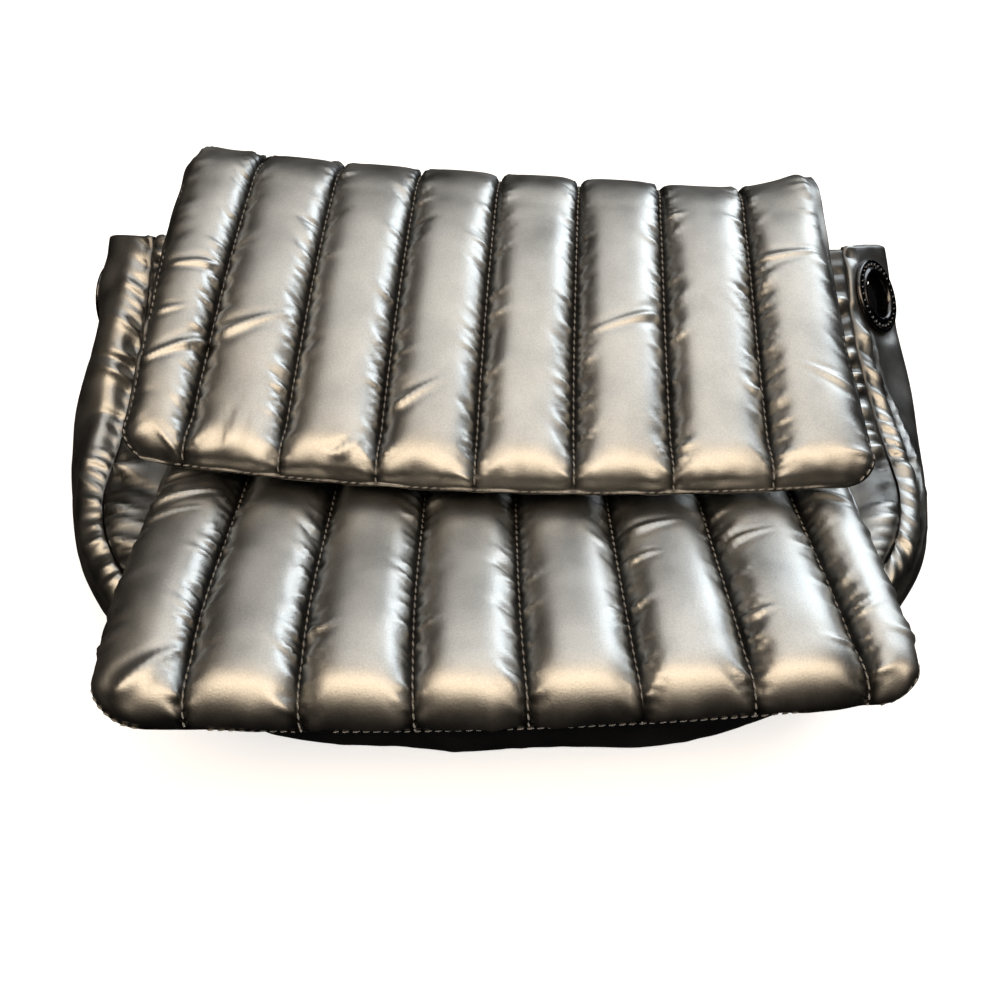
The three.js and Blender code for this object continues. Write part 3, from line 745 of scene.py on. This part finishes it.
def gunmetal_finish():
    """Polished black nickel with a little handling wear."""
    finish, nodes, links, shader = start_finish("gunmetal")
    shader.inputs["Metallic"].default_value = 1.0
    spot = nodes.new("ShaderNodeTexCoord")
    wear = nodes.new("ShaderNodeTexNoise")
    wear.inputs["Scale"].default_value = 700
    wear.inputs["Detail"].default_value = 5
    tone = tone_ramp(nodes, (0.0, (0.055, 0.054, 0.056)), (1.0, (0.17, 0.165, 0.165)))
    gloss = nodes.new("ShaderNodeMapRange")
    gloss.inputs["To Min"].default_value = 0.12
    gloss.inputs["To Max"].default_value = 0.26
    links.new(spot.outputs["Object"], wear.inputs["Vector"])
    links.new(wear.outputs["Fac"], tone.inputs["Fac"])
    links.new(tone.outputs["Color"], shader.inputs["Base Color"])
    links.new(wear.outputs["Fac"], gloss.inputs["Value"])
    links.new(gloss.outputs["Result"], shader.inputs["Roughness"])
    return finish


gunmetal = gunmetal_finish()
for side, (centre, axis) in EYELETS.items():
    shape = bmesh.new()
    profile = [shape.verts.new((radius * MM, 0, rise * MM)) for radius, rise in EYELET_PROFILE]
    ring = [shape.edges.new((a, b)) for a, b in zip(profile, profile[1:] + profile[:1])]
    bmesh.ops.spin(
        shape, geom=profile + ring, axis=(0, 0, 1), cent=(0, 0, 0), angle=2 * math.pi, steps=EYELET_STEPS,
        use_merge=True,
    )
    bmesh.ops.remove_doubles(shape, verts=shape.verts, dist=1e-6)
    bmesh.ops.recalc_face_normals(shape, faces=shape.faces)
    for bead in range(BEADS):
        spin = Matrix.Rotation(2 * math.pi * bead / BEADS, 4, "Z")
        spot = spin @ Matrix.Translation(BEAD_SPOT) @ Matrix.Diagonal(BEAD_SQUASH)
        bmesh.ops.create_uvsphere(shape, u_segments=8, v_segments=5, radius=BEAD_RADIUS, matrix=spot)
    stand = Vector((0, 0, 1)).rotation_difference(Vector(axis)).to_matrix().to_4x4()
    bmesh.ops.transform(shape, matrix=Matrix.Translation(Vector(centre) * MM) @ stand, verts=shape.verts)
    mesh = bpy.data.meshes.new("eyelet_ring_" + side)
    shape.to_mesh(mesh)
    shape.free()
    mesh.shade_smooth()
    mesh.materials.append(gunmetal)
    eyelet = bpy.data.objects.new("eyelet_ring_" + side, mesh)
    scene.collection.objects.link(eyelet)
    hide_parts("eyelet_" + side)
    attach(eyelet, "root")


# Main flap
# The wide quilted flap, sewn to the top of the back panel. It folds over the mouth and lies on the front, a
# little askew. Its skins are turned and top-stitched along a narrow flat edge, with eight puffs between the
# seams. A crease is (x, share) where it starts, (x, share) where it ends, its width and its height.
FLAP_HALF_WIDTH = 125.0
FLAP_LAST_SEAM = 96.0
FLAP_LAST = 3
COURSE_POINTS = 800
FACING_SHARE = 0.006
FACING_ASIDE = 0.5
FLICK_MOST = 1.3
FLAP_SIDE_FLAT = 2.6
FLAP_END_FLAT = 1.6
FLAP_EDGE_TAPER = 15.0
FLAP_LOFT = 0.85
FLAP_STOPS = 9
FLAP_FIRST_STOP = 1.5
OUTER_WIDTH = 27
OUTER_STOPS = 8
OUTER_LAST_STOP = 23.2
OUTER_FLAT_STOPS = (24.3, 25.6, 27)
ROLL_START = 22
ROLL_LENGTH = 16
ROLL_FILL = 0.5
FOLD_FILL = 0.6
FOLD_SPAN = 0.1
EDGE_RIPPLE = 0.7
EDGE_LUMPS = (1.0, 22)
SEWN_SHARE = 0.001
FLAP_GATHERED = 8
FLAP_PRESSURE = 3.0
FLAP_MOST = 1.2 * MM
FLAP_SEAM_PUCKERS = (3.4, 4.6, 2.0, 0.8)
FLAP_SEAM_BAND = 24
FLAP_SIDE_PUCKERS = (5, 6.5, 1.4, 0.6)
FLAP_END_PUCKERS = (7, 7, 1.1, 0.1)
FLAP_EDGE_BAND = 22
FLAP_END_RUN = 260
FLAP_LUMPS = (0.3, 75)
FLAP_LUMPS_IN = 5
FLAP_EDGE_FADE = 1.5
CREASE_START = 0.12
CREASE_FADE = 0.7
CREASE_TIP = 0.35
CREASE_SHARPNESS = 1.4
CREASE_DENT = 0.55
CREASE_DENT_OUT = 2
CREASE_DENT_WIDTH = 1.2
# Painted shade on the flaps: beside the seams, where the outer puffs meet the flat side edge, and along the
# flat free end.
FLAP_SHADE = 0.9
FLAP_SHADE_WIDTH = 1.5
SIDE_SHADE = 0.5
SIDE_SHADE_BAND = 12
END_SHADE = 0.8
END_SHADE_WIDTH = 2.4
SEAM_STITCH_RISE = 0.85
SIDE_STITCH_RISE = 0.65
SIDE_STITCH_OUT = 0.7
END_STITCH_RISE = 0.5
END_STITCH_IN = 0.8
ROW_POINTS = 600
ROW_SHARES = (0.01, 0.997)
STITCH_PITCH = 3.0
STITCH_FIRST = 1.5
STITCH_LAST = 1.2
STITCH_HALF_SIZE = (1.2 * MM, 0.33 * MM, 0.33 * MM, 1)
STITCH_TURN = 7
OUTSIDE, INSIDE, LEFT_EDGE, RIGHT_EDGE, TURN, RISE, LEAN, LEFT_FLICK, RIGHT_FLICK, SHIFT, SPREAD = range(11)
MAIN_PATH = (
    (95.4, 5), (109, 8.5), (120.5, 25), (124.5, 50), (122.5, 73), (115, 88), (103, 93), (88, 91.6), (61, 87),
    (15.5, 76.3), (-30, 64.8),
)
MAIN_SHAPE = (
    (0, 2, 2, 125, 125, 0, 0, 0, 0, 0, 0, 1),
    (0.2, 3, 3, 125, 124, 1.5, 0, 1, 0, 0, 0, 1),
    (0.4, 4, 4, 124, 122, 4.5, 3, 3, 0, 11, -0.5, 0.99),
    (0.6, 8, 5, 124, 126, 4, 2, 2, 0, 1, -0.8, 1),
    (1, 9, 5, 123, 133, 3, 0, 0, 0, 0, -1.5, 1.025),
)
MAIN_FOLD = 0.41
MAIN_TURN_ABOUT = 105.0
MAIN_BOW = 8.0
MAIN_CORNER = 12.0
MAIN_ROW_STEP = 1.5
MAIN_SEED = 31
MAIN_CREASES = (
    (-97, 0.672, -123, 0.690, 1.7, 1.1), (-97, 0.800, -122, 0.858, 1.8, 1.3),
    (-121, 0.775, -104, 0.752, 1.4, 0.8), (-95, 0.800, -66, 0.742, 1.9, 1.0),
    (-31, 0.892, -10, 0.836, 1.7, 1.0), (63, 0.713, 31, 0.764, 1.8, 1.0),
    (97, 0.612, 124, 0.592, 1.8, 0.9), (127, 0.852, 106, 0.800, 1.6, 0.9),
    (-85, 0.985, -79, 0.890, 1.7, 0.8), (-48, 0.975, -37, 0.930, 1.5, 0.9),
)


def quilted_flap(name, path, shape_rows, fold, turn_about, bow, corner, row_step, creases, seed):
    """A flap of eight channels whose seams follow a path of (y, z) from the sewn edge to the free one. Its
    shape rows give, by the share of that path, the puffs' height outside and inside, the two side edges,
    the turn, the sides' rise and lean, how far each side flicks up, and how far the seams are shifted and
    spread. Also returns its rows of stitches."""
    knots = np.concatenate([[0], np.cumsum(np.linalg.norm(np.diff(np.array(path), axis=0), axis=1))])
    course = read_table(np.hstack([knots[:, None], path]), np.linspace(0, knots[-1], COURSE_POINTS))
    gone = np.concatenate([[0], np.cumsum(np.linalg.norm(np.diff(course, axis=0), axis=1))])
    length = gone[-1]
    inner_stops = np.linspace(FLAP_FIRST_STOP, CHANNEL_PITCH - FLAP_FIRST_STOP, FLAP_STOPS)
    inner_stops = np.concatenate([[0, SEAM_STRIP], inner_stops, [CHANNEL_PITCH - SEAM_STRIP]])
    inner_stops = inner_stops / CHANNEL_PITCH
    outer_stops = np.linspace(FLAP_FIRST_STOP, OUTER_LAST_STOP, OUTER_STOPS)
    outer_stops = np.concatenate([[0, SEAM_STRIP], outer_stops, OUTER_FLAT_STOPS]) / OUTER_WIDTH
    half_stops = np.concatenate([inner_stops, 1 + inner_stops, 2 + inner_stops, FLAP_LAST + outer_stops])
    stops = np.concatenate([-half_stops[:0:-1], half_stops])
    rows = np.linspace(0, length - FLAP_END_FLAT, int((length - FLAP_END_FLAT) / row_step))
    rows = np.concatenate([rows, [length - FLAP_END_FLAT / 2, length]]) / length
    piece = two_skins(name, len(stops), len(rows))

    def edges(share):
        form = read_table(shape_rows, share)
        into = np.maximum(0, corner - (1 - share) * length)
        cut = corner - np.sqrt(np.maximum(0, corner * corner - into * into))
        return form[..., LEFT_EDGE] - cut, form[..., RIGHT_EDGE] - cut

    def seam_x(share, seam):
        form = read_table(shape_rows, share)
        return form[..., SHIFT] + seam * CHANNEL_PITCH * form[..., SPREAD]

    def pattern():
        share = np.interp(layer(piece, "row"), np.arange(len(rows)), rows)
        stop = np.interp(layer(piece, "column"), np.arange(len(stops)), stops)
        left, right = edges(share)
        edge = np.where(stop < 0, left, right)
        last = seam_x(share, FLAP_LAST * np.sign(stop))
        outer = last + (np.abs(stop) - FLAP_LAST) * (np.sign(stop) * edge - last)
        x = np.where(np.abs(stop) < FLAP_LAST, seam_x(share, stop), outer)
        return x, share, stop, edge

    def middle(x, share):
        aside = x / FLAP_HALF_WIDTH
        beyond = (np.abs(x) - FLAP_LAST_SEAM) / (FLAP_HALF_WIDTH - FLAP_LAST_SEAM)
        beyond = np.clip(beyond, 0, FLICK_MOST)
        form = read_table(shape_rows, share)
        flick = np.where(x < 0, form[..., LEFT_FLICK], form[..., RIGHT_FLICK])
        reach = np.clip(share * (1 - bow / length * aside ** 2 * share ** 2), 0, 1) * length
        y = np.interp(reach, gone, course[:, 0]) - turn_about
        z = np.interp(reach, gone, course[:, 1])
        turn = np.radians(form[..., TURN])
        points = [
            x * np.cos(turn) + y * np.sin(turn),
            turn_about + y * np.cos(turn) - x * np.sin(turn),
            z + form[..., RISE] * aside ** 2 - form[..., LEAN] * aside + flick * beyond ** 2,
        ]
        return np.stack(points, -1)

    def facing(x, share):
        ahead = middle(x, np.clip(share + FACING_SHARE, 0, 1))
        ahead = ahead - middle(x, np.clip(share - FACING_SHARE, 0, 1))
        aside = middle(x + FACING_ASIDE, share) - middle(x - FACING_ASIDE, share)
        normal = np.cross(ahead, aside)
        return normal / np.linalg.norm(normal, axis=-1, keepdims=True)

    def reliefs(x, share, stop, edge):
        to_side = edge - np.abs(x)
        to_end = (1 - share) * length
        outer = np.abs(stop) >= FLAP_LAST
        pitch = seam_x(share, 1) - seam_x(share, 0)
        last = np.abs(seam_x(share, FLAP_LAST * np.sign(stop)))
        wide = np.where(outer, edge - last - FLAP_SIDE_FLAT - SEAM_STRIP, pitch - 2 * SEAM_STRIP)
        from_seam = np.where(outer, np.abs(x) - last, np.mod(np.abs(stop), 1) * pitch) - SEAM_STRIP
        return to_side, to_end, from_seam, wide

    def end_fullness(share):
        to_end = edge_fullness((1 - share) * length - FLAP_END_FLAT, FLAP_EDGE_TAPER)
        return to_end * edge_fullness(share * length, FLAP_EDGE_TAPER)

    def end_roll(share):
        near = np.clip((ROLL_START - (1 - share) * length) / ROLL_LENGTH, 0, 1)
        return ROLL_FILL * near * near * (3 - 2 * near)

    x, share, stop, edge = pattern()
    skin = layer(piece, "skin")
    to_side, to_end, from_seam, wide = reliefs(x, share, stop, edge)
    form = read_table(shape_rows, share)
    flat_top = 1 - FOLD_FILL * bell(share - fold, FOLD_SPAN)
    full = channel_fullness(from_seam / wide) ** flat_top * (1 - end_roll(share)) + end_roll(share)
    puff = np.where(skin > 0, form[..., OUTSIDE], form[..., INSIDE])
    loft = CLOTH_HALF + FLAP_LOFT * full * end_fullness(share) * puff
    rng = np.random.default_rng(seed)
    at_edge = np.clip(1 - np.minimum(to_side / FLAP_SIDE_FLAT, to_end / FLAP_END_FLAT), 0, 1)
    ripple = EDGE_RIPPLE * at_edge * lumps(rng, x, share * length, *EDGE_LUMPS)
    points = middle(x, share) + facing(x, share) * (skin * loft + ripple)[:, None]
    place(piece, bag_point(points))
    close_outwards(piece)
    nearest = np.minimum(from_seam, wide - from_seam)
    held = (nearest < ON_STITCH) | (share < SEWN_SHARE)
    held = held | (to_side < FLAP_SIDE_FLAT + ON_STITCH) | (to_end < FLAP_END_FLAT + ON_STITCH)
    gathered = np.clip(1 - nearest / FLAP_GATHERED, 0, 1)
    inflate(piece, held, gathered, FLAP_PRESSURE, FLAP_MOST, seed)
    subdivide(piece)

    x, share, stop, edge = pattern()
    skin = layer(piece, "skin")
    to_side, to_end, from_seam, wide = reliefs(x, share, stop, edge)
    along = share * length
    lift = np.zeros_like(x)
    for seam in range(-FLAP_LAST, FLAP_LAST + 1):
        for side in (-1, 1):
            for face in (-1, 1):
                away = side * (x - seam_x(share, seam)) - SEAM_STRIP
                away = np.where((np.sign(skin) == face) & (away < FLAP_SEAM_BAND), away, -1)
                lift += puckers(rng, along, away, length, *FLAP_SEAM_PUCKERS)
    for side in (-1, 1):
        for face in (-1, 1):
            on_face = (np.sign(stop) == side) & (np.sign(skin) == face)
            away = np.where(on_face, to_side - FLAP_SIDE_FLAT, -1)
            away = np.where(away < FLAP_EDGE_BAND, away, -1)
            lift += puckers(rng, along, away, length, *FLAP_SIDE_PUCKERS)
    for face in (-1, 1):
        away = np.where(np.sign(skin) == face, to_end - FLAP_END_FLAT, -1)
        away = np.where(away < FLAP_EDGE_BAND, away, -1)
        lift += puckers(rng, x + FLAP_HALF_WIDTH, away, FLAP_END_RUN, *FLAP_END_PUCKERS)
    for x0, share0, x1, share1, half, tall in creases:
        start = np.array([x0, share0 * length])
        way = np.array([x1, share1 * length]) - start
        reach = np.linalg.norm(way)
        way = way / reach
        offset = np.stack([x, along], 1) - start
        t = offset @ way / reach
        left_over = np.clip(1 - t, 0, 1)
        fade = np.clip(t / CREASE_START, 0, 1) * left_over ** CREASE_FADE
        beside = offset @ np.array([-way[1], way[0]])
        beside = np.abs(beside / (half * (CREASE_TIP + (1 - CREASE_TIP) * left_over)))
        crease = np.exp(-(beside ** CREASE_SHARPNESS))
        crease = crease - CREASE_DENT * bell(beside - CREASE_DENT_OUT, CREASE_DENT_WIDTH)
        lift += tall * crease * fade * (skin > 0)
    inside = np.clip(np.minimum(from_seam, wide - from_seam) / FLAP_LUMPS_IN, 0, 1)
    lift += lumps(rng, x, along, *FLAP_LUMPS) * inside
    to_flat = np.minimum(to_side - FLAP_SIDE_FLAT, to_end - FLAP_END_FLAT)
    lift *= np.clip(to_flat / FLAP_EDGE_FADE, 0, 1) * (np.abs(skin) > 0.5)
    raise_cloth(piece, lift)
    # Painted shade: the colour is darkened beside every seam, less where the outer puff meets the flat side
    # edge, and along the free end.
    by_seam = bell(np.maximum(from_seam, 0), FLAP_SHADE_WIDTH)
    by_far_side = bell(np.maximum(wide - from_seam, 0), FLAP_SHADE_WIDTH)
    far_side_shade = np.where(to_side < SIDE_SHADE_BAND, SIDE_SHADE, FLAP_SHADE)
    shade = np.maximum(FLAP_SHADE * by_seam, far_side_shade * by_far_side)
    keep_layer(piece, "painted_shade", np.maximum(shade, END_SHADE * bell(to_end, END_SHADE_WIDTH)))

    def line(xs, shares, rise):
        puff = read_table(shape_rows, shares)[..., OUTSIDE]
        lift = rise + FLAP_LOFT * puff * end_roll(shares) * end_fullness(shares)
        return bag_point(middle(xs, shares) + facing(xs, shares) * lift[:, None]), facing(xs, shares)

    every = np.linspace(*ROW_SHARES, ROW_POINTS)
    left, right = edges(every)
    stitch_rows = []
    for seam in range(-FLAP_LAST, FLAP_LAST + 1):
        stitch_rows.append(line(seam_x(every, seam), every, SEAM_STITCH_RISE))
    stitch_rows.append(line(-(left - FLAP_SIDE_FLAT + SIDE_STITCH_OUT), every, SIDE_STITCH_RISE))
    stitch_rows.append(line(right - FLAP_SIDE_FLAT + SIDE_STITCH_OUT, every, SIDE_STITCH_RISE))
    along_end = np.linspace(corner - left[-1], right[-1] - corner, ROW_POINTS)
    end_share = np.full_like(along_end, 1 - END_STITCH_IN / length)
    stitch_rows.append(line(along_end, end_share, END_STITCH_RISE))
    return piece, stitch_rows


def stitching(name, stitch_rows, finish):
    """Lock-stitches of a thick thread along the given rows of points, each a small bead of thread."""
    size = Matrix.Diagonal(STITCH_HALF_SIZE)
    lie = Matrix.Rotation(math.radians(STITCH_TURN), 4, "Z")
    shape = bmesh.new()
    for points, normals in stitch_rows:
        row = bmesh.new()
        gone = np.concatenate([[0], np.cumsum(np.linalg.norm(np.diff(points, axis=0), axis=1))])
        for at in np.arange(STITCH_FIRST * MM, gone[-1] - STITCH_LAST * MM, STITCH_PITCH * MM):
            spot = Vector([np.interp(at, gone, points[:, i]) for i in range(3)])
            ahead = Vector([np.interp(at + MM, gone, points[:, i]) for i in range(3)]) - spot
            up = Vector([np.interp(at, gone, normals[:, i]) for i in range(3)])
            aside = up.cross(ahead).normalized()
            up = ahead.cross(aside).normalized()
            turn = Matrix((ahead.normalized(), aside, up)).transposed().to_4x4()
            lay = Matrix.Translation(spot) @ turn @ lie @ size
            bmesh.ops.create_uvsphere(row, u_segments=6, v_segments=4, radius=1, matrix=lay)
        row_mesh = bpy.data.meshes.new(name)
        row.to_mesh(row_mesh)
        row.free()
        shape.from_mesh(row_mesh)
        bpy.data.meshes.remove(row_mesh)
    mesh = bpy.data.meshes.new(name)
    shape.to_mesh(mesh)
    shape.free()
    mesh.shade_smooth()
    mesh.materials.append(finish)
    piece = bpy.data.objects.new(name, mesh)
    scene.collection.objects.link(piece)
    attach(piece, "root")


def thread_finish():
    """Grey polyester thread, slightly lustrous, twisted from fine strands."""
    finish, nodes, links, shader = start_finish("grey_thread")
    shader.inputs["Roughness"].default_value = 0.45
    shader.inputs["Sheen Weight"].default_value = 0.3
    spot = nodes.new("ShaderNodeTexCoord")
    strand = nodes.new("ShaderNodeTexNoise")
    strand.inputs["Scale"].default_value = 1800
    tone = tone_ramp(nodes, (0.3, (0.17, 0.165, 0.155)), (0.7, (0.34, 0.33, 0.315)))
    bump = nodes.new("ShaderNodeBump")
    bump.inputs["Strength"].default_value = 0.5
    bump.inputs["Distance"].default_value = 0.0002
    links.new(spot.outputs["Object"], strand.inputs["Vector"])
    links.new(strand.outputs["Fac"], tone.inputs["Fac"])
    links.new(tone.outputs["Color"], shader.inputs["Base Color"])
    links.new(strand.outputs["Fac"], bump.inputs["Height"])
    links.new(bump.outputs["Normal"], shader.inputs["Normal"])
    return finish


main_flap, main_stitch_rows = quilted_flap(
    "main_flap_quilt", MAIN_PATH, MAIN_SHAPE, MAIN_FOLD, MAIN_TURN_ABOUT, MAIN_BOW, MAIN_CORNER,
    MAIN_ROW_STEP, MAIN_CREASES, MAIN_SEED,
)
main_flap.data.materials.append(shell_nylon)
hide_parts("main_flap")
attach(main_flap, "root")
grey_thread = thread_finish()
stitching("main_flap_stitches", main_stitch_rows, grey_thread)


# Front flap
# The second flap, sewn across the front panel under the main one, quilted and edged in the same way. Its
# free edge hangs over the bottom of the bag in a thick roll.
FRONT_PATH = (
    (32, 45.1), (10, 44.5), (-13, 46.5), (-40, 52), (-66, 55.8), (-85, 57.5), (-96, 57), (-104, 53),
    (-107, 48),
)
FRONT_SHAPE = (
    (0, 2, 1, 119, 122, 0, 7, 0, 0, 0, 5.5, 0.98),
    (0.3, 8, 4, 120, 123, 0, 5, 0, 0, 0, 5.5, 0.99),
    (0.5, 8.5, 5, 122.5, 124.5, -0.4, 3.6, 0, -5, -5, 5.3, 1),
    (0.7, 9, 6, 124.5, 125, -0.9, 2, 0, -6, -6, 5, 1.02),
    (1, 9, 6, 125, 124, -2, 0, 0, -5, -5, 4.7, 1.035),
)
NO_FOLD = 9.0
FRONT_TURN_ABOUT = 0.0
FRONT_BOW = 6.0
FRONT_CORNER = 20.0
FRONT_ROW_STEP = 1.4
FRONT_FLAP_SEED = 41
FRONT_CREASES = (
    (-120, 0.33, -91, 0.31, 1.6, 1.4), (-120, 0.43, -94, 0.385, 1.9, 1.5),
    (-119, 0.49, -100, 0.455, 1.6, 1.1), (-21, 0.38, 0, 0.35, 2.1, 1.0),
    (42, 0.53, 60, 0.49, 1.5, 0.8), (72, 0.57, 88, 0.535, 1.5, 0.8),
    (104, 0.40, 121, 0.45, 2.1, 1.0), (-113, 0.94, -93, 0.82, 2.3, 1.3),
    (39, 0.62, 50, 0.60, 1.5, 1.2), (72, 0.79, 81, 0.775, 1.5, 1.1),
)

front_flap, front_stitch_rows = quilted_flap(
    "front_flap_quilt", FRONT_PATH, FRONT_SHAPE, NO_FOLD, FRONT_TURN_ABOUT, FRONT_BOW, FRONT_CORNER,
    FRONT_ROW_STEP, FRONT_CREASES, FRONT_FLAP_SEED,
)
front_flap.data.materials.append(shell_nylon)
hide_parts("front_flap")
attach(front_flap, "root")
stitching("front_flap_stitches", front_stitch_rows, grey_thread)


# Floor and light
# A plain pale floor, a cool window to the right and behind, a soft ceiling light, a warm lamp overhead in
# front, and a dim room. A light is (spot, size, power, colour), and all of them face the bag.
FLOOR_SIZE = 4
LIGHT_AIM = (0, 0, 0.05)
LIGHTS = {
    "window": ((1.1, 1.15, 0.92), (0.9, 1.1), 10, (0.86, 0.94, 1.0)),
    "ceiling": ((0.17, 0.5, 1.3), (1.35, 1.05), 5.2, (1.0, 0.97, 0.92)),
    "lamp": ((-0.05, -0.42, 1.15), (2.2, 0.65), 12.5, (1.0, 0.8, 0.58)),
}
ROOM_UP = (0.2, 0.1, 0.97)
ROOM_DARK = (0.45, (0.004, 0.004, 0.0045))
ROOM_LIGHT = (0.98, (0.16, 0.152, 0.142))

shape = bmesh.new()
bmesh.ops.create_grid(shape, x_segments=1, y_segments=1, size=FLOOR_SIZE)
floor_mesh = bpy.data.meshes.new("floor")
shape.to_mesh(floor_mesh)
shape.free()
floor = bpy.data.objects.new("floor", floor_mesh)
scene.collection.objects.link(floor)
floor.visible_glossy = False
floor_finish, _, _, floor_shader = start_finish("pale_floor")
floor_shader.inputs["Base Color"].default_value = (0.9, 0.9, 0.9, 1)
floor_shader.inputs["Roughness"].default_value = 0.9
floor_shader.inputs["Emission Color"].default_value = (1, 1, 1, 1)
floor_shader.inputs["Emission Strength"].default_value = 0.7
floor_mesh.materials.append(floor_finish)

for name, (spot, size, power, colour) in LIGHTS.items():
    lamp = bpy.data.lights.new(name, "AREA")
    lamp.shape = "RECTANGLE"
    lamp.size = size[0]
    lamp.size_y = size[1]
    lamp.energy = power
    lamp.color = colour
    light = bpy.data.objects.new(name, lamp)
    light.location = spot
    light.rotation_euler = (Vector(LIGHT_AIM) - Vector(spot)).to_track_quat("-Z", "Y").to_euler()
    scene.collection.objects.link(light)

room = bpy.data.worlds.new("room")
room.use_nodes = True
scene.world = room
backdrop = room.node_tree.nodes["Background"]
backdrop.inputs["Strength"].default_value = 1.0
compass = room.node_tree.nodes.new("ShaderNodeTexCoord")
upward = room.node_tree.nodes.new("ShaderNodeVectorMath")
upward.operation = "DOT_PRODUCT"
upward.inputs[1].default_value = ROOM_UP
sky = tone_ramp(room.node_tree.nodes, ROOM_DARK, ROOM_LIGHT)
room.node_tree.links.new(compass.outputs["Generated"], upward.inputs[0])
room.node_tree.links.new(upward.outputs["Value"], sky.inputs["Fac"])
room.node_tree.links.new(sky.outputs["Color"], backdrop.inputs["Color"])

scene.view_settings.view_transform = "Standard"
